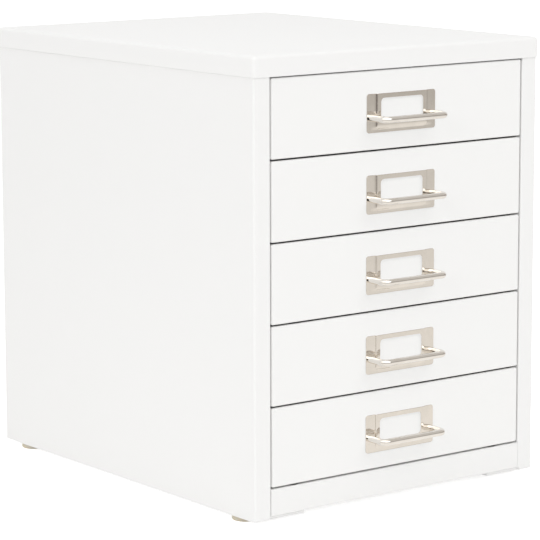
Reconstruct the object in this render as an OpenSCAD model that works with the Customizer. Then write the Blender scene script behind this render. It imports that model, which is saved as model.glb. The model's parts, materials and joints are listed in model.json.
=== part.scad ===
// Small metal drawer cabinet: a folded sheet-steel body with sliding drawers, each with a label plate and
// a bent-rod pull. Millimetres. X runs left to right, Y from the front to the back, Z up.
// The origin lies on the standing surface, under the middle of the bounding box, pulls included.

/* [Cabinet] */
// Overall width, over the cover
cab_w = 280; // [230:1:340]
// Depth of the cover, front to back, without the pulls
cab_d = 350; // [290:1:420]
// Overall height, feet included
cab_h = 350; // [290:1:420]
// Number of drawers, one above the other
drawers = 5; // [3:1:6]
// Thickness of the body's sheet steel
sheet = 0.8; // [0.6:0.1:1.2]

/* [Cover] */
// Height of the cover's downturned skirt
skirt_h = 16.2; // [12:0.2:25]
// Outer radius of the cover's folded edges and corners
cover_r = 3; // [2:0.25:4.5]
// Gap between the skirt and the body that it slips over
cover_gap = 0.2; // [0.1:0.1:0.5]

/* [Body] */
// Width of the post that each side panel is folded into at the front
post_w = 15.2; // [13:0.2:20]
// Depth of the post's inner return
post_d = 12; // [11:0.5:20]
// Outer radius of the tight fold between a post and its inner return
post_r = 1.2; // [1.2:0.1:2]
// Width of the return at the rear edge of a side panel
rear_return = 15; // [8:0.5:25]
// Width of the return at the top edge of a side panel
top_return = 12; // [6:0.5:20]
// Width of the return at the bottom edge of a side panel, and of the corner plates on it
foot_return = 47; // [38:0.5:60]
// Height of the rail below the bottom drawer
rail_h = 20.7; // [15:0.1:40]
// Depth of the rail's returns
rail_d = 11.5; // [10:0.5:20]
// Outer radius of the rail's folds
rail_r = 1.4; // [1.2:0.1:2.5]
// Gap at each end of the rail
rail_gap = 0.1; // [0.1:0.1:0.6]
// Diameter of the two holes in the rail's upper return
rail_hole_d = 9; // [4:0.5:9]
// Distance between those two holes
rail_hole_span = 198.6; // [120:0.2:200]

/* [Feet] */
// Height of a foot
foot_h = 4; // [3.5:0.5:12]
// Diameter of a foot
foot_d = 20; // [16:0.5:26]
// Distance of a foot's centre from the side of the body
foot_side = 11; // [10.5:0.5:24]
// Distance of a foot's centre from the front or the back of the body
foot_end = 27; // [13.5:0.5:45]
// Thickness of the corner plates that the feet are screwed to
plate_t = 1.2; // [1:0.1:2]
// Length of a corner plate, front to back
plate_l = 60; // [40:1:90]
// Diameter of the foot screws
screw_d = 4; // [3:0.5:5]

/* [Drawers] */
// Gap below each drawer front
front_gap = 1.3; // [1:0.1:2.5]
// Gap between the top drawer front and the skirt's lower edge
top_gap = 0.6; // [0.4:0.1:2]
// Gap between a drawer front and the post at each side of it
side_gap = 1.2; // [0.8:0.1:2]
// Depth of a drawer front's returned edges at the sides and below
front_d = 9; // [6:0.5:10]
// Depth of the hem along its upper edge
hem_d = 3; // [2.5:0.5:6]
// Outer radius of a drawer front's edges and corners
front_r = 1.6; // [1.2:0.1:2.5]
// Thickness of a drawer front
front_t = 0.8; // [0.6:0.1:1]
// Thickness of the sheet of a tray
tray_t = 0.7; // [0.5:0.1:1]
// Outer radius of a tray's folds
tray_r = 1.3; // [1.2:0.1:2.5]
// Width of the safe edge turned in along the top of a tray
tray_lip = 3; // [2.5:0.5:12]
// Width of the flanges along the top and bottom of a tray's back
back_flange = 5; // [3:0.5:12]
// Space left between a closed tray and the back panel
tray_back_gap = 8; // [5:0.5:30]
// Length of a tray that stays in the body when the drawer is pulled out to its stop
keep_in = 93; // [60:1:120]
// Height of a tray's two stop tabs
tab_h = 18; // [10:1:25]
// How far a stop tab stands out from the side of the tray
tab_out = 7; // [5:0.5:8]

/* [Runners] */
// Thickness of the runners' sheet
runner_t = 0.9; // [0.8:0.1:1.5]
// Height of a runner's upright leg
runner_leg = 11; // [8:0.5:11]
// How far a runner's ledge reaches in under the tray
ledge_lap = 5; // [3:0.5:10]
// Height of the lug at a runner's rear end
lug_h = 10; // [6:0.5:15]
// Running gap between a tray and its ledge, and between a closed tray and its lug
slide_gap = 0.3; // [0.2:0.05:0.5]
// Gap between the top of a tray and the ledge above it
tilt_gap = 3; // [2:0.1:6]

/* [Label plate] */
// Width of the plate
label_w = 67; // [62:0.5:90]
// Height of the plate
label_h = 29.5; // [26:0.5:36]
// Thickness of the plate
label_t = 0.7; // [0.5:0.1:0.8]
// Radius of the plate's outer corners
label_r = 2; // [1:0.25:4]
// Height of the plate's lower edge above the drawer front's lower edge
label_up = 12.9; // [8:0.1:14]
// Width of the raised frame
frame_w = 49.5; // [40:0.5:52]
// Height of the raised frame, from the plate's upper edge down
frame_h = 27; // [24:0.5:28.5]
// How far the frame stands out from the side flaps
frame_out = 1.2; // [1:0.1:2]
// Width of the window in the frame
window_w = 41.5; // [25:0.5:44]
// Height of the window
window_h = 17; // [8:0.5:18]
// Radius of the window's corners
window_r = 3; // [1:0.25:4]
// Width of the frame above the window
window_margin = 3.5; // [3:0.25:5]

/* [Pull] */
// Diameter of the rod
pull_d = 5; // [3.5:0.25:5.5]
// Distance between the rod's two legs
pull_span = 60; // [57:0.5:61]
// Distance of the bar's middle from the drawer front
pull_out = 18.5; // [14:0.5:30]
// Radius of the bends, at the middle of the rod
pull_bend = 5; // [4:0.5:8]
// Height of the pull above the plate's lower edge
pull_up = 11.4; // [8:0.1:16]
// Diameter of the threaded end of each leg
stud_d = 3; // [2.5:0.5:3]
// Height of the flanged nuts
nut_h = 3; // [2.5:0.5:5]

/* [Hidden] */
$fn = 48;
hole_gap = 0.1; // radial room round a stud or a screw where it only passes through
thread_gap = 0.02; // radial room where it is threaded
butt_gap = 0.2; // gap between sheets that end beside each other
over = 1; // length by which a cutter passes what it cuts

lip = sheet + cover_gap; // how far the cover stands out from the body all round
body_w = cab_w - 2 * lip;
opening_w = body_w - 2 * post_w;
body_r = cover_r - sheet - cover_gap; // the body's corners nest inside the cover's
fold_in = body_r - sheet; // inner radius of the body's folds
top_fold_r = cover_r - sheet + cover_gap; // the top return's fold clears the inside of the cover's edge
reach = pull_out + pull_d / 2; // the pull's reach in front of a drawer front

cover_back_y = (cab_d + reach - lip) / 2;
cover_front_y = cover_back_y - cab_d;
face_y = cover_front_y + lip; // front of the posts, the rail and the drawer fronts
body_back_y = cover_back_y - lip;
back_panel_y = body_back_y - 2 * sheet; // inner face of the back panel

skirt_z = cab_h - skirt_h;
cover_under_z = cab_h - sheet;
body_z = foot_h;
plate_z = body_z + sheet;
rail_z = plate_z + plate_t;
rail_top = rail_z + rail_h;
post_top = cab_h - cover_r - butt_gap;

web_x = body_w / 2 - sheet; // inner face of a side panel
pitch = (skirt_z - top_gap - rail_top) / drawers;
front_w = opening_w - 2 * side_gap;
front_h = pitch - front_gap;
tray_w = front_w - 2 * front_t;
tray_h = pitch - slide_gap - runner_t - tilt_gap;
tray_y = face_y + front_r; // front end of a tray, behind the folds of the drawer front
tray_back_y = back_panel_y - tray_back_gap;
travel = tray_back_y - face_y - keep_in; // how far a drawer slides out
tab_y = face_y + post_d + travel + slide_gap;
tab_up = 12; // height of a stop tab above the tray's floor

runner_y = face_y + post_d + slide_gap;
runner_back_y = tray_back_y + slide_gap + runner_t;
ledge_x = tray_w / 2 - ledge_lap; // inner edge of a ledge

pull_x = pull_span / 2;
foot_x = body_w / 2 - foot_side;
foot_front_y = face_y + foot_end;
foot_back_y = body_back_y - foot_end;
head_d = 2 * screw_d - 1; // head of a foot screw
head_h = 1.8;
foot_recess = head_h + 0.4; // depth of the recess for that head
screw_tip = 1.5; // length of screw above its corner plate
stud_tip = 0.7; // length of stud beyond its nut
flange_d = 8; // flange of a nut
flange_t = 1;

CORNERS = [[-1, 0, "front_left"], [1, 0, "front_right"], [-1, 1, "rear_left"], [1, 1, "rear_right"]];
SIDES = [[-1, "left"], [1, "right"]];

// Height of the lower edge of drawer front number n, counted from the top
function front_z(n) = rail_top + front_gap + (drawers - n) * pitch;
function tray_z(n) = front_z(n) + front_t;

// ---------- shared shapes ----------

// A block between two corners
module block(low, high) {
    translate(low) cube(high - low);
}

// One straight leg of a folded section, from a to b along an axis
module fold_leg(a, b, t) {
    along_x = a.y == b.y;
    half = along_x ? [0, t / 2] : [t / 2, 0];
    low = [min(a.x, b.x), min(a.y, b.y)] - half;
    high = [max(a.x, b.x), max(a.y, b.y)] + half;
    translate(low) square(high - low);
}

// One quarter bend: the corner of the centre line, and the directions in which the sheet comes and goes
module fold_bend(corner, come, go, t, r) {
    towards = come - go;
    size = r + t;
    translate(corner - r * towards) intersection() {
        difference() {
            circle(r + t / 2);
            circle(r - t / 2);
        }
        translate([towards.x < 0 ? -size : 0, towards.y < 0 ? -size : 0]) square(size);
    }
}

function heading(a, b) = [sign(b.x - a.x), sign(b.y - a.y)];

// Section of a sheet folded square: the centre line's corners, the thickness and the folds' outer radius
module folded(line, t, outer_r) {
    r = outer_r - t / 2;
    last = len(line) - 1;
    for (i = [0:last - 1]) {
        go = heading(line[i], line[i + 1]);
        fold_leg(line[i] + (i == 0 ? 0 : r) * go, line[i + 1] - (i == last - 1 ? 0 : r) * go, t);
    }
    for (i = [1:last - 1])
        fold_bend(line[i], heading(line[i - 1], line[i]), heading(line[i], line[i + 1]), t, r);
}

// Rectangle with round corners, centred
module round_rect(w, h, r) {
    square([w - 2 * r, h], center = true);
    square([w, h - 2 * r], center = true);
    for (sx = [-1, 1], sy = [-1, 1])
        translate([sx * (w / 2 - r), sy * (h / 2 - r)]) circle(r);
}

// A quarter of a block whose upright and upper edges are round; every piece shares whole faces with the next
module round_block_quarter(w, l, h, r) {
    x = w / 2 - r;
    y = l / 2 - r;
    z = h - r;
    cube([x, y, h]);
    translate([x, 0, 0]) cube([r, y, z]);
    translate([0, y, 0]) cube([x, r, z]);
    translate([x, y, 0]) rotate_extrude(angle = 90) square([r, z]);
    translate([x, y, z]) rotate([90, 0, 0]) rotate_extrude(angle = 90) square([r, y]);
    translate([0, y, z]) rotate([90, 0, 90]) rotate_extrude(angle = 90) square([r, x]);
    translate([x, y, z]) rotate_extrude(angle = 90) intersection() {
        circle(r);
        square(r);
    }
}

module round_block(w, l, h, r) {
    for (mx = [0, 1], my = [0, 1])
        mirror([mx, 0, 0]) mirror([0, my, 0]) round_block_quarter(w, l, h, r);
}

// A pressed pan, open below, its face upwards at height h
module pan(w, l, h, r, t) {
    difference() {
        round_block(w, l, h, r);
        translate([0, 0, -over]) round_block(w - 2 * t, l - 2 * t, h + over - t, r - t);
    }
}

// Sets a shape that is drawn for the right side to either side
module on_side(s) {
    mirror([s < 0 ? 1 : 0, 0, 0]) children();
}

// ---------- body ----------

module top_cover() {
    color("white")
        translate([0, (cover_front_y + cover_back_y) / 2, skirt_z])
            pan(cab_w, cab_d, skirt_h, cover_r, sheet);
}

// Web, post and rear return are one folded section; the post's inner return starts above the corner plate.
// The top return is folded inside the cover's rounded edge, and the bottom one carries the base and the feet.
module side_panel(s) {
    outer = body_w / 2 - sheet / 2;
    front = face_y + sheet / 2;
    back = body_back_y - sheet / 2;
    inner = opening_w / 2 + sheet / 2;
    post_middle = (inner + outer) / 2;
    rear_end = [body_w / 2 - rear_return, back];
    color("white") on_side(s) difference() {
        union() {
            translate([0, 0, body_z]) linear_extrude(rail_z - body_z)
                folded([[inner - sheet / 2 + rail_r, front], [outer, front], [outer, back], rear_end],
                    sheet, body_r);
            translate([0, 0, rail_z]) linear_extrude(post_top - rail_z) {
                folded([[inner, face_y + post_d], [inner, front], [post_middle, front]], sheet, post_r);
                folded([[post_middle, front], [outer, front], [outer, back], rear_end], sheet, body_r);
            }
            top_front = face_y + post_d + butt_gap;
            translate([0, back_panel_y - butt_gap, 0]) rotate([90, 0, 0])
                linear_extrude(back_panel_y - butt_gap - top_front)
                    folded([[outer, skirt_z], [outer, cover_under_z - sheet / 2],
                        [body_w / 2 - top_return, cover_under_z - sheet / 2]], sheet, top_fold_r);
            block([body_w / 2 - foot_return, face_y + sheet, body_z],
                [body_w / 2 - sheet / 2, body_back_y - sheet / 2, body_z + sheet]);
        }
        for (y = [foot_front_y, foot_back_y])
            translate([foot_x, y, body_z - over])
                cylinder(h = sheet + 2 * over, r = screw_d / 2 + hole_gap);
    }
}

module back_panel() {
    half_w = web_x - fold_in;
    color("white")
        block([-half_w, back_panel_y, rail_z + butt_gap], [half_w, back_panel_y + sheet, post_top]);
}

// The floor of the body, on the corner plates, with room for the tips of the foot screws
module base_panel() {
    half_w = web_x - butt_gap;
    color("white") difference() {
        block([-half_w, face_y + post_d + butt_gap, rail_z],
            [half_w, back_panel_y - butt_gap, rail_z + sheet]);
        for (x = [-foot_x, foot_x], y = [foot_front_y, foot_back_y])
            translate([x, y, rail_z - over]) cylinder(h = sheet + 2 * over, r = screw_d);
    }
}

// Channel between the posts, open to the back
module front_bottom_rail() {
    w = opening_w - 2 * rail_gap;
    color("white") difference() {
        translate([-w / 2, 0, 0]) rotate([90, 0, 90]) linear_extrude(w)
            folded([[face_y + rail_d, rail_top - sheet / 2], [face_y + sheet / 2, rail_top - sheet / 2],
                [face_y + sheet / 2, rail_z + sheet / 2], [face_y + rail_d, rail_z + sheet / 2]],
                sheet, rail_r);
        for (s = [-1, 1])
            translate([s * rail_hole_span / 2, face_y + rail_d / 2 + sheet, rail_top - sheet - over])
                cylinder(h = sheet + 2 * over, r = rail_hole_d / 2);
    }
}

module corner_plate(s, rear) {
    front = rear ? body_back_y - sheet - butt_gap - plate_l : face_y + sheet + butt_gap;
    color("white") on_side(s) difference() {
        block([body_w / 2 - foot_return, front, plate_z], [web_x - fold_in, front + plate_l, rail_z]);
        translate([foot_x, rear ? foot_back_y : foot_front_y, plate_z - over])
            cylinder(h = plate_t + 2 * over, r = screw_d / 2 + thread_gap);
    }
}

// Disc with a bevelled lower edge and a recess for its screw's head
module foot(s, rear) {
    bevel = 0.8;
    color("tan") translate([s * foot_x, rear ? foot_back_y : foot_front_y, 0]) difference() {
        union() {
            cylinder(h = bevel, r1 = foot_d / 2 - bevel, r2 = foot_d / 2);
            translate([0, 0, bevel]) cylinder(h = foot_h - bevel, r = foot_d / 2);
        }
        translate([0, 0, -over]) cylinder(h = foot_recess + over, r = head_d / 2 + hole_gap);
        cylinder(h = foot_h + over, r = screw_d / 2 + hole_gap);
    }
}

module foot_screws() {
    length = rail_z + screw_tip - foot_recess;
    color("silver") for (x = [-foot_x, foot_x], y = [foot_front_y, foot_back_y])
        translate([x, y, foot_recess]) {
            translate([0, 0, -head_h]) cylinder(h = head_h, r = head_d / 2);
            cylinder(h = length, r = screw_d / 2);
        }
}

// ---------- runners ----------

// Angle on the inside of a side panel, its ledge's upper face at height z
module ledge(s, z) {
    leg = web_x - runner_t / 2;
    level = z - runner_t / 2;
    color("white") on_side(s)
        translate([0, runner_back_y, 0]) rotate([90, 0, 0]) linear_extrude(runner_back_y - runner_y)
            folded([[leg, level + runner_leg], [leg, level], [ledge_x, level]], runner_t, 2 * runner_t);
}

// A ledge with an upright lug at its rear end, which stops the closing tray
module runner(s, n) {
    z = tray_z(n) - slide_gap;
    color("white") {
        ledge(s, z);
        on_side(s) block([ledge_x, runner_back_y - runner_t, z - runner_t],
            [tray_w / 2, runner_back_y, z + lug_h]);
    }
}

// The ledge above the top tray, which keeps the open drawer from tipping
module top_guide(s) {
    ledge(s, tray_z(0) - slide_gap);
}

// ---------- drawers ----------

// Floor and sides in one folded sheet with safe edges, and a stop tab lanced out of each side
module tray(n) {
    low = tray_z(n) + tray_t / 2;
    high = tray_z(n) + tray_h - tray_t / 2;
    side = tray_w / 2 - tray_t / 2;
    edge = tray_w / 2 - tray_lip;
    tab_low = tray_z(n) + tab_up;
    color("white") {
        difference() {
            translate([0, tray_back_y, 0]) rotate([90, 0, 0]) linear_extrude(tray_back_y - tray_y)
                folded([[-edge, high], [-side, high], [-side, low], [side, low], [side, high], [edge, high]],
                    tray_t, tray_r);
            for (s = [-1, 1]) on_side(s)
                block([side - tray_t, tab_y + tray_t, tab_low],
                    [side + tray_t, tab_y + tray_t + tab_out, tab_low + tab_h]);
        }
        for (s = [-1, 1]) on_side(s)
            block([tray_w / 2 - tray_t, tab_y, tab_low],
                [tray_w / 2 + tab_out, tab_y + tray_t, tab_low + tab_h]);
    }
}

// Channel that closes the rear of a tray. Its flanges point backwards, on the floor and under the safe edges.
module tray_back(n) {
    low = tray_z(n) + 1.5 * tray_t;
    high = tray_z(n) + tray_h - 1.5 * tray_t;
    plate = tray_back_y - back_flange + tray_t / 2;
    half_w = tray_w / 2 - tray_r;
    color("white") translate([-half_w, 0, 0]) rotate([90, 0, 90]) linear_extrude(2 * half_w)
        folded([[tray_back_y, high], [plate, high], [plate, low], [tray_back_y, low]], tray_t, tray_r);
}

// The two holes for the ends of the pull, through whatever lies behind the drawer's face
module pull_holes(n) {
    for (x = [-pull_x, pull_x])
        translate([x, face_y + front_t + over, pull_z(n)]) rotate([90, 0, 0])
            cylinder(h = front_t + label_t + 2 * over, r = stud_d / 2 + hole_gap);
}

function pull_z(n) = front_z(n) + label_up + pull_up;

// Pressed pan whose upper return is cut down to a hem, so that things can be reached over it
module drawer_front(n) {
    half_cut = front_w / 2 - front_r;
    top = front_z(n) + front_h;
    color("white") difference() {
        translate([0, face_y + front_d, front_z(n) + front_h / 2]) rotate([90, 0, 0])
            pan(front_w, front_h, front_d, front_r, front_t);
        block([-half_cut, face_y + hem_d, top - front_r], [half_cut, face_y + front_d + over, top + over]);
        pull_holes(n);
    }
}

// Flat plate with a raised frame round the window: a pocket that is open at the top, for a paper card
module label_plate(n) {
    top = front_z(n) + label_up + label_h;
    frame_z = top - frame_h;
    outer = frame_out + label_t; // the frame's outer face, from the drawer front
    color("silver") difference() {
        union() {
            translate([0, face_y, top - label_h / 2]) rotate([90, 0, 0])
                linear_extrude(label_t) round_rect(label_w, label_h, label_r);
            block([-frame_w / 2, face_y - outer, frame_z], [frame_w / 2, face_y - label_t / 2, top]);
        }
        block([label_t - frame_w / 2, face_y - frame_out, frame_z + label_t],
            [frame_w / 2 - label_t, face_y + over, top + over]);
        translate([0, face_y, top - window_margin - window_h / 2]) rotate([90, 0, 0])
            linear_extrude(outer + over) round_rect(window_w, window_h, window_r);
        pull_holes(n);
    }
}

// Rod bent to a U, with a thinner threaded end on each leg; the shoulder clamps the plate to the front
module pull(n) {
    leg = pull_out - pull_bend - label_t;
    stud = label_t + front_t + nut_h + stud_tip;
    color("silver") translate([0, face_y, pull_z(n)]) {
        for (s = [-1, 1]) on_side(s) {
            translate([pull_x, -label_t, 0]) rotate([90, 0, 0]) cylinder(h = leg, r = pull_d / 2);
            translate([pull_x, stud - label_t, 0]) rotate([90, 0, 0]) cylinder(h = stud, r = stud_d / 2);
            translate([pull_x - pull_bend, -pull_out + pull_bend, 0]) rotate([0, 0, -90])
                rotate_extrude(angle = 90) translate([pull_bend, 0]) circle(pull_d / 2);
        }
        translate([pull_bend - pull_x, -pull_out, 0]) rotate([0, 90, 0])
            cylinder(h = pull_span - 2 * pull_bend, r = pull_d / 2);
    }
}

module pull_nuts(n) {
    color("silver") for (x = [-pull_x, pull_x])
        translate([x, face_y + front_t, pull_z(n)]) rotate([-90, 0, 0]) difference() {
            union() {
                cylinder(h = flange_t, r = flange_d / 2);
                cylinder(h = nut_h, r = stud_d, $fn = 6);
            }
            translate([0, 0, -over]) cylinder(h = nut_h + 2 * over, r = stud_d / 2 + thread_gap);
        }
}

// ---------- assembly ----------

top_cover();
back_panel();
base_panel();
front_bottom_rail();
foot_screws();
for (s = SIDES) {
    side_panel(s[0]);
    top_guide(s[0]);
    for (n = [1:drawers])
        runner(s[0], n);
}
for (c = CORNERS) {
    corner_plate(c[0], c[1] == 1);
    foot(c[0], c[1] == 1);
}
for (n = [1:drawers]) {
    tray(n);
    tray_back(n);
    drawer_front(n);
    label_plate(n);
    pull(n);
    pull_nuts(n);
}
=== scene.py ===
# %% [markdown]
# A small steel drawer cabinet for a desk: a folded sheet body, five drawers, and on each drawer a
# pressed label plate with a bent rod for a pull. The folded sheet, the rods, the feet and the screws
# are exact CAD pieces, so this script keeps their shapes and gives them their finishes. Only the label
# plates are modelled here, because a pressed plate has soft slopes that a CAD step leaves out.

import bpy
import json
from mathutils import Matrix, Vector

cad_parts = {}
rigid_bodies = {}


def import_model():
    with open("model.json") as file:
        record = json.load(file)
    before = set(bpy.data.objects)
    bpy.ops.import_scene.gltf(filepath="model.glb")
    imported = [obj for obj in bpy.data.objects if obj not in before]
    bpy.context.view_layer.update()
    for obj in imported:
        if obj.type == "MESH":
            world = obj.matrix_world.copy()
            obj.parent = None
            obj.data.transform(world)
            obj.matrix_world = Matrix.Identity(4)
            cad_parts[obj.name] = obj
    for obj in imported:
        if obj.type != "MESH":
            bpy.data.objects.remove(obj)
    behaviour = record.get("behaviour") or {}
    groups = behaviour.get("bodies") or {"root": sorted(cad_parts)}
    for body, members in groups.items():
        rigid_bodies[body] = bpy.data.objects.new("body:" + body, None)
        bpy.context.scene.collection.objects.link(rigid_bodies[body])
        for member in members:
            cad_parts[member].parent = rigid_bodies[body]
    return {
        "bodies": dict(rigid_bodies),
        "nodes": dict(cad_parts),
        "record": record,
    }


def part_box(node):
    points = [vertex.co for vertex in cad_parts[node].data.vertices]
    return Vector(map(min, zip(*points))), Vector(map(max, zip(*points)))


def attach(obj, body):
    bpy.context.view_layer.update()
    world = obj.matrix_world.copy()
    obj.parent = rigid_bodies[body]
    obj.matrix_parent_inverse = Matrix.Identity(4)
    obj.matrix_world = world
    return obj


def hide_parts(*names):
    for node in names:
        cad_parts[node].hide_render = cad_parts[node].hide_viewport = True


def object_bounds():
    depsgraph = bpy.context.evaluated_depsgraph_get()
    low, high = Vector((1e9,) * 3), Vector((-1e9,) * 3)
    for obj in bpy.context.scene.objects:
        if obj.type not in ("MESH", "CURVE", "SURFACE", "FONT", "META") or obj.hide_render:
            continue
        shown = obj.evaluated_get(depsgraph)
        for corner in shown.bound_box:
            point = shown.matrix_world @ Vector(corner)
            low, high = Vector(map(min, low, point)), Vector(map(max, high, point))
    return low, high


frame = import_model()
cad_low, cad_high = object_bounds()
print("pieces that came with the frame:", len(frame["nodes"]))

# %% [markdown]
# Blender counts in metres, and sheet metal is drawn in millimetres. One factor, MM, keeps the sizes
# below readable. The record that comes with the model tells which finish each piece has, and that list
# is the plan for the whole lesson: one material for each finish, then one loop that hands them out.

# %% Read which piece has which finish
import json
import math

import bmesh
import bpy
from mathutils import Matrix, Vector

MM = 0.001
DRAWERS = [name for name in frame["bodies"] if name.startswith("drawer_")]
finish_of = {part["node"]: part["material_slot"] for part in frame["record"]["subparts"]}
size_mm = [round((high - low) / MM, 1) for low, high in zip(cad_low, cad_high)]
print("cabinet, width x depth x height in mm:", size_mm)
print("drawers:", len(DRAWERS), " pieces:", len(finish_of))
print("finishes:", sorted(set(finish_of.values())))

# %% [markdown]
# Every finish is a small network of nodes round one Principled shader. Writing the same four lines
# for each node would hide the idea, so helpers do it: open_finish() makes a new material, put() adds
# a node with its settings, and speckle() adds a noise of a given size. All patterns are laid out in
# object coordinates: they are measured in metres on the piece itself, and they travel with a drawer
# when it slides. A printed pattern would need a UV map, but a speckle fills space and has no seams,
# so it does without.

# %% Helpers that open a finish
def open_finish(name):
    material = bpy.data.materials.new(name)
    material.use_nodes = True
    return material, material.node_tree, material.node_tree.nodes["Principled BSDF"]


def put(tree, kind, settings=None, **inputs):
    node = tree.nodes.new("ShaderNode" + kind)
    for field, value in (settings or {}).items():
        setattr(node, field, value)
    for socket, value in inputs.items():
        node.inputs[socket.replace("_", " ")].default_value = value
    return node


def on_piece(tree, stretch=(1, 1, 1)):
    place = put(tree, "TexCoord")
    scale = put(tree, "VectorMath", {"operation": "MULTIPLY"})
    scale.inputs[1].default_value = stretch
    tree.links.new(place.outputs["Object"], scale.inputs[0])
    return scale.outputs[0]


def speckle(tree, size, detail=2.0, stretch=(1, 1, 1)):
    noise = put(tree, "TexNoise", Scale=1 / size, Detail=detail)
    tree.links.new(on_piece(tree, stretch), noise.inputs["Vector"])
    return noise.outputs["Fac"]


print("a pattern is measured in metres: a speckle of 2 mm has a noise scale of", 1 / (2 * MM))

# %% [markdown]
# A pattern is only a number at each point, and it takes a few more nodes to make use of it. A noise
# keeps mostly between 0.3 and 0.7, so spread() stretches that range over the two values it is given.
# The next two make a soft switch of any measure: past() is 1 beyond an edge, before() is 1 ahead of
# it, and both fade between the edge's two ends. A Color Ramp node could do the same, but it keeps its
# numbers in a list of stops, and Map Range shows them on four sockets.

# %% Helpers that use a pattern
NOISE_LOW = 0.3
NOISE_HIGH = 0.7


def spread(tree, pattern, low, high, start=NOISE_LOW, end=NOISE_HIGH):
    ramp = put(tree, "MapRange", From_Min=start, From_Max=end, To_Min=low, To_Max=high)
    tree.links.new(pattern, ramp.inputs["Value"])
    return ramp.outputs["Result"]


def past(tree, measure, edge):
    return spread(tree, measure, 0.0, 1.0, *edge)


def before(tree, measure, edge):
    return spread(tree, measure, 1.0, 0.0, *edge)


def times(tree, first, second):
    product = put(tree, "Math", {"operation": "MULTIPLY"})
    tree.links.new(first, product.inputs[0])
    tree.links.new(second, product.inputs[1])
    return product.outputs[0]


def blend_colours(tree, amount, first, second):
    mix = put(tree, "Mix", {"data_type": "RGBA"})
    tree.links.new(amount, mix.inputs["Factor"])
    for socket, colour in (("A", first), ("B", second)):
        if isinstance(colour, tuple):
            mix.inputs[socket].default_value = (*colour, 1)
        else:
            tree.links.new(colour, mix.inputs[socket])
    return mix.outputs["Result"]


print("a noise is stretched from between", NOISE_LOW, "and", NOISE_HIGH)

# %% [markdown]
# A folded or sheared sheet never has a knife edge. The Bevel node answers two questions about that
# without touching the mesh: what the normal would be if the edge were rounded, and, by comparing it
# with the true normal, how near the edge is. The first gives the thin soft highlight along a fold.
# The second is where paint pulls back while it cures, so that the coat is a little thinner there.
# The coat is also painted a little darker there: partly for that thinner coat, and partly as painted
# shade that draws each fold as a faint grey line. The dot product of the two normals is 1 on the flat
# and falls towards the edge, and the mask fades in between the two values of EDGE_MASK.

# %% Soft edges, and a mask of them
EDGE_SAMPLES = 6
EDGE_MASK = (0.75, 0.99)


def round_edges(tree, radius):
    bevel = put(tree, "Bevel", {"samples": EDGE_SAMPLES}, Radius=radius)
    return bevel.outputs["Normal"]


def near_edge(tree, rounded):
    flat = put(tree, "NewGeometry")
    same = put(tree, "VectorMath", {"operation": "DOT_PRODUCT"})
    tree.links.new(rounded, same.inputs[0])
    tree.links.new(flat.outputs["Normal"], same.inputs[1])
    return before(tree, same.outputs["Value"], EDGE_MASK)


def roughen(tree, shader, pattern, depth, normal=None):
    bump = put(tree, "Bump", Strength=1.0, Distance=depth)
    tree.links.new(pattern, bump.inputs["Height"])
    if normal:
        tree.links.new(normal, bump.inputs["Normal"])
    tree.links.new(bump.outputs["Normal"], shader.inputs["Normal"])


print("an edge is full in the mask at a dot product of", EDGE_MASK[0], "and gone at", EDGE_MASK[1])

# %% [markdown]
# The white is powder coat: dry powder melted on the steel in an oven. Up close it isn't smooth. It
# flows into low hills some two millimetres apart, called orange peel, and there is a finer grain on
# top of them. A bump from two speckles gives both, and the gloss varies with the same hills. A real
# displacement would need millions of faces for hills sixteen microns high, so a bump is the right tool.

# %% Powder coat
PEEL_SIZE = 2.2 * MM
PEEL_DEPTH = 0.016 * MM
GRAIN_SIZE = 0.5 * MM
GRAIN_SHARE = 0.2
COAT_EDGE = 0.45 * MM
COAT_IOR = 1.5


def powder_coat(name, colour, thin_coat_and_shade_colour, roughness, peel=1.0):
    material, tree, shader = open_finish(name)
    rounded = round_edges(tree, COAT_EDGE)
    hills = speckle(tree, PEEL_SIZE, detail=1.0)
    grain = speckle(tree, GRAIN_SIZE, detail=2.0)
    surface = put(tree, "Math", {"operation": "MULTIPLY_ADD"})
    surface.inputs[1].default_value = GRAIN_SHARE
    tree.links.new(grain, surface.inputs[0])
    tree.links.new(hills, surface.inputs[2])
    roughen(tree, shader, surface.outputs[0], PEEL_DEPTH * peel, rounded)
    tree.links.new(spread(tree, hills, *roughness), shader.inputs["Roughness"])
    # The darker edge colour is partly a thinner coat and partly painted shade along the folds.
    coat = blend_colours(tree, near_edge(tree, rounded), colour, thin_coat_and_shade_colour)
    tree.links.new(coat, shader.inputs["Base Color"])
    shader.inputs["IOR"].default_value = COAT_IOR
    return material


finishes = {}
# Each coat's second colour is its edge colour: a thinner coat, plus painted shade that marks the folds.
finishes["painted_body"] = powder_coat(
    "powder_coat_body", (0.90, 0.896, 0.885), (0.84, 0.836, 0.825), (0.38, 0.5))
finishes["painted_front"] = powder_coat(
    "powder_coat_front", (0.91, 0.906, 0.893), (0.85, 0.846, 0.834), (0.34, 0.46))
finishes["painted_tray"] = powder_coat(
    "powder_coat_tray", (0.89, 0.886, 0.875), (0.82, 0.816, 0.806), (0.42, 0.56), peel=1.4)
print("orange peel:", round(PEEL_SIZE / MM, 2), "mm apart")
print("its hills:", round(PEEL_DEPTH / MM * 1000), "microns high")

# %% [markdown]
# The label plates are steel sheet, pressed and then nickel plated. Nickel is a warm grey metal, and
# thin plating copies each small wave of the sheet under it, so its reflections wobble a little. A wide
# shallow bump makes that wobble, a fine speckle in the roughness makes the haze, and wide patches of
# a slightly duller colour make it less even. The rods were drawn through a die, so their haze is
# stretched along the bar. A metal shows nothing but what it mirrors, in its own tint: what the room
# shows it matters as much as this material.

# %% Nickel plating
HAZE_SIZE = 0.7 * MM
PATCH_SIZE = 9 * MM


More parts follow.
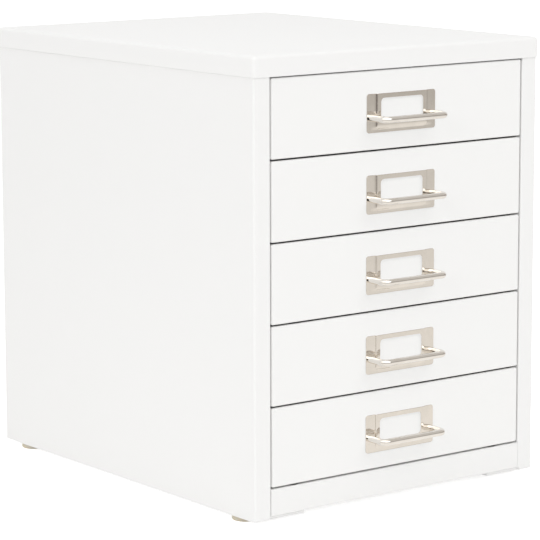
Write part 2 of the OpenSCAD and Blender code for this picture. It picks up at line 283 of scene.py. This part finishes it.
def plating(name, colour, dull_colour, roughness, wave, wave_depth, stretch=(1, 1, 1)):
    material, tree, shader = open_finish(name)
    shader.inputs["Metallic"].default_value = 1.0
    haze = speckle(tree, HAZE_SIZE, detail=3.0, stretch=stretch)
    patches = speckle(tree, PATCH_SIZE, detail=2.0)
    waves = speckle(tree, wave, detail=1.0)
    tone = blend_colours(tree, spread(tree, patches, 0.0, 1.0), colour, dull_colour)
    tree.links.new(tone, shader.inputs["Base Color"])
    tree.links.new(spread(tree, haze, *roughness), shader.inputs["Roughness"])
    roughen(tree, shader, waves, wave_depth)
    return material


finishes["nickel_plate"] = plating(
    "nickel_plate", (0.75, 0.70, 0.64), (0.71, 0.665, 0.605), (0.05, 0.11), 11 * MM, 0.03 * MM)
finishes["nickel_rod"] = plating(
    "nickel_rod", (0.82, 0.785, 0.74), (0.78, 0.74, 0.69), (0.05, 0.10), 6 * MM, 0.01 * MM,
    stretch=(0.25, 1, 1))
print("nickel finishes:", finishes["nickel_plate"].name, finishes["nickel_rod"].name)

# %% [markdown]
# Nuts and screws are zinc plated. Fresh zinc has a cool blue cast with straw-coloured patches from
# the dip that protects it, and it is duller than nickel. The feet are moulded plastic the colour of
# pale honey. Light goes a millimetre or more into that plastic before it comes out again, so it uses
# subsurface scattering: plain paint of the same colour would look like a solid beige button.

# %% Zinc and foot plastic
HONEY = (0.66, 0.61, 0.51)
DARK_HONEY = (0.60, 0.54, 0.43)
CLOUD_SIZE = 5 * MM
SCATTER_SHARE = 0.55
SCATTER_DEPTH = 2.5 * MM
SCATTER_COLOURS = (1.0, 0.7, 0.4)
MOULD_GRAIN = 0.4 * MM
MOULD_DEPTH = 0.012 * MM
MOULD_GLOSS = (0.36, 0.5)
MOULD_EDGE = 0.4 * MM

finishes["zinc_steel"] = plating(
    "zinc_plated_steel", (0.62, 0.64, 0.67), (0.68, 0.66, 0.58), (0.26, 0.42), 4 * MM, 0.02 * MM)


def honey_plastic(name):
    material, tree, shader = open_finish(name)
    clouds = speckle(tree, CLOUD_SIZE, detail=2.0)
    tone = blend_colours(tree, spread(tree, clouds, 0.0, 1.0), HONEY, DARK_HONEY)
    tree.links.new(tone, shader.inputs["Base Color"])
    shader.inputs["Subsurface Weight"].default_value = SCATTER_SHARE
    shader.inputs["Subsurface Radius"].default_value = SCATTER_COLOURS
    shader.inputs["Subsurface Scale"].default_value = SCATTER_DEPTH
    texture = speckle(tree, MOULD_GRAIN, detail=2.0)
    tree.links.new(spread(tree, texture, *MOULD_GLOSS), shader.inputs["Roughness"])
    roughen(tree, shader, texture, MOULD_DEPTH, round_edges(tree, MOULD_EDGE))
    return material


finishes["foot_plastic"] = honey_plastic("honey_plastic")
print("red light reaches about", SCATTER_DEPTH / MM, "mm into a foot")
print("blue light reaches about", SCATTER_DEPTH * SCATTER_COLOURS[2] / MM, "mm")

# %% [markdown]
# Now each CAD piece gets its finish. The mesh stays as the CAD made it: only the material slot on the
# object changes. The dictionary from the start says which finish a piece has, so this is one loop,
# and a finish that was forgotten would stop it with an error.

# %% Hand out the finishes
for node, finish in finish_of.items():
    frame["nodes"][node].material_slots[0].material = finishes[finish]
print("finished", len(finish_of), "pieces with", len(finishes), "materials")

# %% [markdown]
# A label plate is one piece of sheet, pressed so that its middle stands out by a little more than a
# millimetre. That leaves a pocket behind it, open at the top, for a paper card, and a window to read
# it through. At the sides the press makes a short steep step, and below a slope that starts at a crisp
# line and eases into the flat. It could be a cube with a Boolean and a Bevel, but those can't turn
# the step into the slope round the two lower corners. So the plate is a grid whose height comes from
# a formula: one curve across, one curve up, multiplied, with the step moved inwards at the corners.

# %% Measures of a label plate
PLATE_SHEET = 0.7 * MM
PLATE_CORNER = 2 * MM
FRAME_OUT = 1.2 * MM
FRAME_HALF = 24.6 * MM
STEP_RUN = 0.6 * MM
SLOPE_FOOT = 2.6 * MM
SLOPE_RUN = 3.2 * MM
SLOPE_CORNER = 2.0 * MM
WINDOW_HALF = 20.75 * MM
WINDOW_LOW = 9.0 * MM
WINDOW_HIGH = 26.0 * MM
WINDOW_CORNER = 3.0 * MM
plate_low, plate_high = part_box("drawer_1_label_plate")
plate_half = (plate_high.x - plate_low.x) / 2
plate_height = plate_high.z - plate_low.z
print("plate in mm:", round(2 * plate_half / MM, 1), "x", round(plate_height / MM, 1))

# %% [markdown]
# The press tool is what these few functions describe. A point on the sheet is given by how far it is
# across from the middle and how far up from the lower edge, and pressed_out() answers how far the
# tool pushes it out. The pocket is open at the top, so the frame has no upper corners to round:
# step_start() gives it a top that lies well above the plate. Sculpting or moving points by hand
# would work for one plate, but a formula makes all five alike and keeps each measure in one place.

# %% Height of the pressed sheet
def ease(share):
    share = min(max(share, 0.0), 1.0)
    return share * share * (3 - 2 * share)


def half_width(up, low, high, half, radius):
    into = min(max(radius - min(up - low, high - up), 0.0), radius)
    return half - radius + math.sqrt(radius * radius - into * into)


def step_start(up):
    above_plate = 2 * plate_height
    return half_width(up, SLOPE_FOOT, above_plate, FRAME_HALF, SLOPE_CORNER) - STEP_RUN / 2


def pressed_out(across, up):
    step = ease((step_start(up) + STEP_RUN - abs(across)) / STEP_RUN)
    rise = min(max((up - SLOPE_FOOT) / SLOPE_RUN, 0.0), 1.0)
    return FRAME_OUT * step * rise * (2 - rise)


for up in (1 * MM, 4 * MM, 8 * MM):
    print("pressed out at", round(up / MM), "mm up:", round(pressed_out(0, up) / MM, 2), "mm")

# %% [markdown]
# The grid's rows and columns are close together only where the sheet bends. Round corners need no
# extra faces: the outermost column slides inwards on the rows near a corner, along the circle of the
# corner, and the column beside the window does the same round the window's corners. A subdivided
# plane would spend most of its points on the flat parts.

# %% Rows and columns of the grid
CORNER_STEPS = 6
STEP_COLUMNS = 8
SLOPE_ROWS = 9
RIM_COLUMN = 3.2 * MM
ROW_DIGITS = 7


def corner_rows(edge, radius, inwards):
    turns = [math.pi / 2 * k / CORNER_STEPS for k in range(CORNER_STEPS + 1)]
    return [edge + inwards * radius * (1 - math.cos(turn)) for turn in turns]


def plate_rows():
    rows = corner_rows(0, PLATE_CORNER, 1) + corner_rows(plate_height, PLATE_CORNER, -1)
    rows += corner_rows(WINDOW_LOW, WINDOW_CORNER, 1) + corner_rows(WINDOW_HIGH, WINDOW_CORNER, -1)
    rows += [SLOPE_FOOT + SLOPE_RUN * k / SLOPE_ROWS for k in range(SLOPE_ROWS + 1)]
    rows += [(SLOPE_FOOT + SLOPE_RUN + WINDOW_LOW) / 2, (WINDOW_LOW + WINDOW_HIGH) / 2]
    return sorted(set(round(row, ROW_DIGITS) for row in rows))


def plate_columns(up):
    if WINDOW_LOW <= up <= WINDOW_HIGH:
        window = half_width(up, WINDOW_LOW, WINDOW_HIGH, WINDOW_HALF, WINDOW_CORNER)
    else:
        window = WINDOW_HALF - WINDOW_CORNER
    start = step_start(up)
    steps = [start + STEP_RUN * k / STEP_COLUMNS for k in range(STEP_COLUMNS + 1)]
    rim = half_width(up, 0, plate_height, plate_half, PLATE_CORNER)
    right = [window, (WINDOW_HALF + start) / 2, *steps, plate_half - RIM_COLUMN, rim]
    return [-across for across in reversed(right)] + [0.0] + right


rows = plate_rows()
print("grid:", len(rows), "rows of", len(plate_columns(0)), "points")

# %% [markdown]
# With the rows and columns known, the sheet is made as a skin first, with its window left out, and
# gets its thickness next. Extruding the whole face region and moving the copy outwards by the sheet's
# thickness leaves a closed solid, with walls at the rim and in the window. A Solidify modifier would
# do nearly the same, but it moves each point square to the skin, and that would widen the frame.

# %% Press one label plate
ROW_SLACK = 1e-7


def in_window(row, column, middle):
    beside = column in (middle - 1, middle)
    return beside and WINDOW_LOW - ROW_SLACK <= rows[row] and rows[row + 1] <= WINDOW_HIGH + ROW_SLACK


def press_plate(name, low, face_y):
    mesh = bpy.data.meshes.new(name)
    work = bmesh.new()
    grid = [[work.verts.new((across, face_y - pressed_out(across, up), low.z + up))
             for across in plate_columns(up)] for up in rows]
    middle = len(grid[0]) // 2
    for i in range(len(grid) - 1):
        for j in range(len(grid[0]) - 1):
            if not in_window(i, j, middle):
                work.faces.new((grid[i][j], grid[i][j + 1], grid[i + 1][j + 1], grid[i + 1][j]))
    moved = bmesh.ops.extrude_face_region(work, geom=list(work.faces))["geom"]
    corners = [part for part in moved if isinstance(part, bmesh.types.BMVert)]
    bmesh.ops.translate(work, verts=corners, vec=(0, -PLATE_SHEET, 0))
    bmesh.ops.recalc_face_normals(work, faces=work.faces)
    for face in work.faces:
        face.smooth = True
    work.to_mesh(mesh)
    work.free()
    return bpy.data.objects.new(name, mesh)


window_size = (2 * WINDOW_HALF, WINDOW_HIGH - WINDOW_LOW)
print("each plate gets a window of", [round(side / MM, 1) for side in window_size], "mm")

# %% [markdown]
# Plates are tumbled before they are plated, and that rolls their cut edges over a little. A Bevel
# modifier does it to every edge that is sharper than an angle: the cut edges are square, and the
# pressed bends are softer than that in each of their small steps, so they are left alone. Bevelling
# in the mesh would give the same shape, but a modifier keeps the pressed mesh simple and adjustable.

# %% Roll the cut edges
ROLLED_EDGE = 0.12 * MM
ROLLED_STEPS = 2
SHARP_ANGLE = math.radians(50)


def roll_edges(piece):
    bevel = piece.modifiers.new("rolled_edges", "BEVEL")
    bevel.width = ROLLED_EDGE
    bevel.segments = ROLLED_STEPS
    bevel.limit_method = "ANGLE"
    bevel.angle_limit = SHARP_ANGLE
    bevel.harden_normals = True


print("rolled edges:", round(ROLLED_EDGE / MM, 2), "mm wide")

# %% [markdown]
# On the cabinet each drawer has its own plate, held on by the two ends of the pull. Here the five
# plates are pressed one after the other, each at the place of the CAD plate that it stands in for.
# The box of that CAD plate gives the place: its lower edge, and the drawer front that it lies against.
# Each plate then rides on its drawer. One mesh shared by five objects would save memory, but a plate
# that is pressed at its own place gets its own part of the plating's pattern.

# %% A plate for each drawer
for drawer in DRAWERS:
    cad_plate = drawer + "_label_plate"
    low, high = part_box(cad_plate)
    plate = press_plate(drawer + "_pressed_plate", low, high.y)
    bpy.context.scene.collection.objects.link(plate)
    plate.data.materials.append(finishes["nickel_plate"])
    roll_edges(plate)
    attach(plate, drawer)
    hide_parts(cad_plate)
print("pressed", len(DRAWERS), "plates of", len(plate.data.polygons), "faces each")

# %% [markdown]
# Light also reaches the paint by way of the nickel, which throws back three quarters of it. Cycles
# leaves such paths out when caustics are off, and then each plate and rod would dim the paint round
# it like a black one. A lamp with more power would only hide that. Each object has switches for the
# kinds of ray that meet it, so the nickel is left out of the rays that gather soft light for paint.
# It still stops the light of the lamps, so it keeps its shadow. The hidden CAD plates have the nickel
# finish too, so they are counted with the rest.

# %% Let soft light pass the nickel
def is_nickel(piece):
    materials = [slot.material for slot in piece.material_slots]
    return any(material and material.name.startswith("nickel") for material in materials)


nickel = [piece for piece in bpy.context.scene.objects if is_nickel(piece)]
for piece in nickel:
    piece.visible_diffuse = False
print("left out of the soft light on paint:", len(nickel), "objects")

# %% [markdown]
# The floor is a white sweep, and it has three jobs. A camera should see plain white that still carries
# the cabinet's soft shadow. Light for the paint should bounce off it as it does off paper. And nickel
# should mirror something with tones in it: the low plates mirror the floor close by, the high ones
# mirror it three metres away or more. This cell makes the floor that metal sees. It is pale near the
# cabinet, darker with distance, and dimmer still beside the strip of paper that runs out to the front
# right. A leg and its plate meet at a right angle, like two mirrors in a corner. Seen from above, such
# a corner sends a ray back the way it came: to the front left, where a camera and its dark stand would
# be. So the floor is nearly black there for a ray that has met metal twice, and a leg gets a small
# dark spot at its root. Distance and direction are measured on the floor, so nothing slides in other
# views.

# %% The floor as metal sees it
NEAR_TONE = (1.09, 1.07, 1.035)
FAR_TONE = (0.50, 0.48, 0.46)
FAR_FADE = (0.0, 4.0)
DIM_TONE = (0.27, 0.25, 0.24)
DIM_FADE = (0.9, 2.6)
PAPER_WAY = (0.62, -0.78, 0.0)
PAPER_EDGE = (0.72, 0.92)
STAND_TONE = (0.035, 0.03, 0.028)
STAND_FADE = (0.45, 0.55)
STAND_WAY = (-0.61, -0.79, 0.0)
STAND_EDGE = (0.80, 0.93)
TWICE = (1.0, 2.0)


def along(tree, place, way):
    direction = put(tree, "VectorMath", {"operation": "NORMALIZE"})
    tree.links.new(place.outputs["Position"], direction.inputs[0])
    turn = put(tree, "VectorMath", {"operation": "DOT_PRODUCT"})
    turn.inputs[1].default_value = way
    tree.links.new(direction.outputs["Vector"], turn.inputs[0])
    return turn.outputs["Value"]


def met_metal_twice(tree, rays):
    return past(tree, rays.outputs["Glossy Depth"], TWICE)


def floor_in_metal(tree, rays):
    place = put(tree, "NewGeometry")
    distance = put(tree, "VectorMath", {"operation": "LENGTH"})
    tree.links.new(place.outputs["Position"], distance.inputs[0])
    away = distance.outputs["Value"]
    lit = blend_colours(tree, past(tree, away, FAR_FADE), NEAR_TONE, FAR_TONE)
    beside_paper = before(tree, along(tree, place, PAPER_WAY), PAPER_EDGE)
    dim = times(tree, beside_paper, past(tree, away, DIM_FADE))
    dimmed = blend_colours(tree, dim, lit, DIM_TONE)
    front_left = past(tree, along(tree, place, STAND_WAY), STAND_EDGE)
    stand = times(tree, front_left, past(tree, away, STAND_FADE))
    return blend_colours(tree, times(tree, stand, met_metal_twice(tree, rays)), dimmed, STAND_TONE)


print("metal sees the floor fade from", NEAR_TONE[0], "to", FAR_TONE[0], "over", FAR_FADE[1], "m")

# %% [markdown]
# One material can be all these floors, because Light Path tells what kind of ray has hit it. Camera
# rays get a diffuse shader, which holds the shadow, and a glow that lifts it. Where the floor is fully
# lit the two add up to more than 1, which is plain white, and only the shadow falls below that. For
# the light that paint gathers, the same shaders are plain paper with a weak glow. A glossy ray that
# comes from the camera by way of metal, or of the gloss on paint, gets the toned floor. One that paint
# has scattered first doesn't, because the dark tones are there to be seen, not to dim the paint.

# %% Floor finish
FLOOR_TONE = (0.9, 0.9, 0.9)
SHADOW_TONE = (1.4, 1.4, 1.4)
FLOOR_GLOW = 0.42
FLOOR_BOUNCE = 0.17
ONCE = (0.0, 1.0)


def seen_in_metal(tree, rays):
    first_hand = before(tree, rays.outputs["Diffuse Depth"], ONCE)
    return times(tree, rays.outputs["Is Glossy Ray"], first_hand)


def floor_finish():
    material, tree, shader = open_finish("white_sweep")
    tree.nodes.remove(shader)
    rays = put(tree, "LightPath")
    camera_ray = rays.outputs["Is Camera Ray"]
    paper = put(tree, "BsdfDiffuse")
    tree.links.new(blend_colours(tree, camera_ray, FLOOR_TONE, SHADOW_TONE), paper.inputs["Color"])
    glow = put(tree, "Emission", Color=(1, 1, 1, 1))
    strength = spread(tree, camera_ray, FLOOR_BOUNCE, FLOOR_GLOW, 0.0, 1.0)
    tree.links.new(strength, glow.inputs["Strength"])
    lifted = put(tree, "AddShader")
    tree.links.new(paper.outputs[0], lifted.inputs[0])
    tree.links.new(glow.outputs[0], lifted.inputs[1])
    mirrored = put(tree, "Emission", Strength=1.0)
    tree.links.new(floor_in_metal(tree, rays), mirrored.inputs["Color"])
    choose = put(tree, "MixShader")
    tree.links.new(seen_in_metal(tree, rays), choose.inputs[0])
    tree.links.new(lifted.outputs[0], choose.inputs[1])
    tree.links.new(mirrored.outputs[0], choose.inputs[2])
    tree.links.new(choose.outputs[0], tree.nodes["Material Output"].inputs["Surface"])
    return material


print("the floor glows", FLOOR_GLOW, "for the camera and", FLOOR_BOUNCE, "for paint")

# %% [markdown]
# The floor itself is one big square at the height of the feet's undersides. A real sweep curves up
# behind the object, but here the room behind the floor's edge is plain white too, and no line shows
# where the two meet. The floor belongs to the stage and not to the cabinet.

# %% Floor
FLOOR_SIZE = 40.0


def lay_floor():
    half = FLOOR_SIZE / 2
    corners = [(-half, -half, 0), (half, -half, 0), (half, half, 0), (-half, half, 0)]
    mesh = bpy.data.meshes.new("floor")
    mesh.from_pydata(corners, [], [(0, 1, 2, 3)])
    mesh.materials.append(floor_finish())
    floor = bpy.data.objects.new("floor", mesh)
    bpy.context.scene.collection.objects.link(floor)
    return floor


floor = lay_floor()
print("floor:", FLOOR_SIZE, "m wide")

# %% [markdown]
# White on white is lit with almost no direction: a bright room all round, and a few soft lamps. The
# world gives the room. This cell is the studio that metal mirrors: a dark band along the horizon, a
# paler ceiling, a white wall behind the cabinet, a bright card high on the left, and high in front a
# strip of light that is brighter still. Without the band the rods would be white on white and vanish.
# The card makes the gleam on their bends, and the strip makes the white line along their legs. The
# dark stand at the front left goes on here, up to a little over the horizon. Each pair of numbers
# below is an edge: where on the way right, back or up a tone starts to fade, and where it ends.

# %% The room as metal sees it
BAND_TONE = (0.40, 0.375, 0.35)
BAND_TOP = (0.2, 0.34)
CEILING_TONE = (0.66, 0.635, 0.605)
CARD_TONE = (1.6, 1.58, 1.54)
CARD_RIGHT = (-0.1, 0.35)
CARD_LOW = (0.08, 0.25)
STRIP_TONE = (2.3, 2.35, 2.4)
STRIP_BACK = (-0.74, -0.62)
STRIP_LOW = (0.3, 0.4)
STRIP_RIGHT = (0.3, 0.5)
STAND_RIGHT = (-0.4, -0.3)
STAND_TOP = (0.2, 0.3)
STAND_BACK = (-0.7, -0.6)
WALL_TONE = (1.0, 1.0, 1.0)
WALL_FRONT = (-0.1, 0.4)


def room_in_metal(tree, rays, right, back, up):
    band = blend_colours(tree, past(tree, up, BAND_TOP), BAND_TONE, CEILING_TONE)
    card = times(tree, before(tree, right, CARD_RIGHT), past(tree, up, CARD_LOW))
    carded = blend_colours(tree, card, band, CARD_TONE)
    high_ahead = times(tree, before(tree, back, STRIP_BACK), past(tree, up, STRIP_LOW))
    strip = times(tree, high_ahead, before(tree, right, STRIP_RIGHT))
    stripped = blend_colours(tree, strip, carded, STRIP_TONE)
    low_left = times(tree, before(tree, right, STAND_RIGHT), before(tree, up, STAND_TOP))
    stand = times(tree, low_left, before(tree, back, STAND_BACK))
    dark = times(tree, stand, met_metal_twice(tree, rays))
    darkened = blend_colours(tree, dark, stripped, STAND_TONE)
    return blend_colours(tree, past(tree, back, WALL_FRONT), darkened, WALL_TONE)


print("brightest thing that metal sees:", STRIP_TONE[2], " darkest:", STAND_TONE[2])

# %% [markdown]
# The same choice as on the floor puts the room together. Camera rays see plain white, light for the
# paint comes evenly from everywhere, and metal sees the studio. In a world, the Generated coordinate
# is the direction of the ray: X is right, Y is back and Z is up, each from -1 to 1.

# %% Room
ROOM_LEVEL = 0.68


def room():
    world = bpy.data.worlds.new("room")
    world.use_nodes = True
    tree = world.node_tree
    place = put(tree, "TexCoord")
    axes = put(tree, "SeparateXYZ")
    tree.links.new(place.outputs["Generated"], axes.inputs[0])
    rays = put(tree, "LightPath")
    studio = room_in_metal(tree, rays, axes.outputs["X"], axes.outputs["Y"], axes.outputs["Z"])
    plain = blend_colours(tree, rays.outputs["Is Camera Ray"], (ROOM_LEVEL,) * 3, (1.0, 1.0, 1.0))
    seen = blend_colours(tree, seen_in_metal(tree, rays), plain, studio)
    tree.links.new(seen, tree.nodes["Background"].inputs["Color"])
    tree.nodes["Background"].inputs["Strength"].default_value = 1.0
    bpy.context.scene.world = world


room()
print("the room lights paint at", ROOM_LEVEL)

# %% [markdown]
# Three area lamps add the little direction there is: one for the side, one high in front for the
# drawers, and a weak one above. One big lamp between side and front would be simpler, but it would
# face the fold between them squarely and draw it as a white line. From two sides the fold gets no more
# than the faces beside it. The high front lamp also throws the soft shadow under each label plate. The
# room has the gleams for the metal already, so the lamps are hidden from camera and glossy rays.

# %% Lamps
def soft_lamp(name, place, size, watts, aim=(0, 0, 0.15)):
    data = bpy.data.lights.new(name, "AREA")
    data.shape = "RECTANGLE"
    data.size, data.size_y = size
    data.energy = watts
    lamp = bpy.data.objects.new(name, data)
    lamp.location = place
    lamp.rotation_euler = (Vector(aim) - Vector(place)).to_track_quat("-Z", "Y").to_euler()
    lamp.visible_camera = False
    lamp.visible_glossy = False
    bpy.context.scene.collection.objects.link(lamp)
    print(name, "stands", round((Vector(place) - Vector(aim)).length, 2), "m away")


soft_lamp("side_softbox", (-3.0, -1.0, 1.7), (2.2, 1.8), 20)
soft_lamp("front_softbox", (0.6, -2.1, 2.1), (2.0, 1.6), 15)
soft_lamp("top_softbox", (-0.6, -0.2, 2.4), (1.0, 1.0), 6.5)

# %% [markdown]
# The camera stands a little over two metres away, turned about 37 degrees to the cabinet's left and
# looking down by nine. A long lens keeps the perspective gentle. The picture's centre is moved a
# little instead of tilting the camera further, which keeps upright edges close to upright.

# %% Camera
VIEW_TURN = math.radians(37.39)
VIEW_DOWN = math.radians(9.074)
VIEW_ROLL = math.radians(-0.137)
VIEW_DISTANCE = 2.142
VIEW_AIM = Vector((0.001, 0.0, 0.1794))
VIEW_SHIFT = -0.05
LENS = 176.44
SENSOR = 36.0

camera_data = bpy.data.cameras.new("camera")
camera_data.sensor_width = SENSOR
camera_data.lens = LENS
camera_data.shift_y = VIEW_SHIFT
camera = bpy.data.objects.new("camera", camera_data)
ahead = Vector((math.sin(VIEW_TURN) * math.cos(VIEW_DOWN),
                math.cos(VIEW_TURN) * math.cos(VIEW_DOWN),
                -math.sin(VIEW_DOWN)))
turned = Matrix.Rotation(-VIEW_TURN, 4, "Z") @ Matrix.Rotation(math.pi / 2 - VIEW_DOWN, 4, "X")
camera.matrix_world = (Matrix.Translation(VIEW_AIM - VIEW_DISTANCE * ahead)
                       @ turned @ Matrix.Rotation(VIEW_ROLL, 4, "Z"))
bpy.context.scene.collection.objects.link(camera)
bpy.context.scene.camera = camera
bpy.context.scene.view_settings.view_transform = "Standard"
print("camera at", [round(value, 3) for value in camera.location])
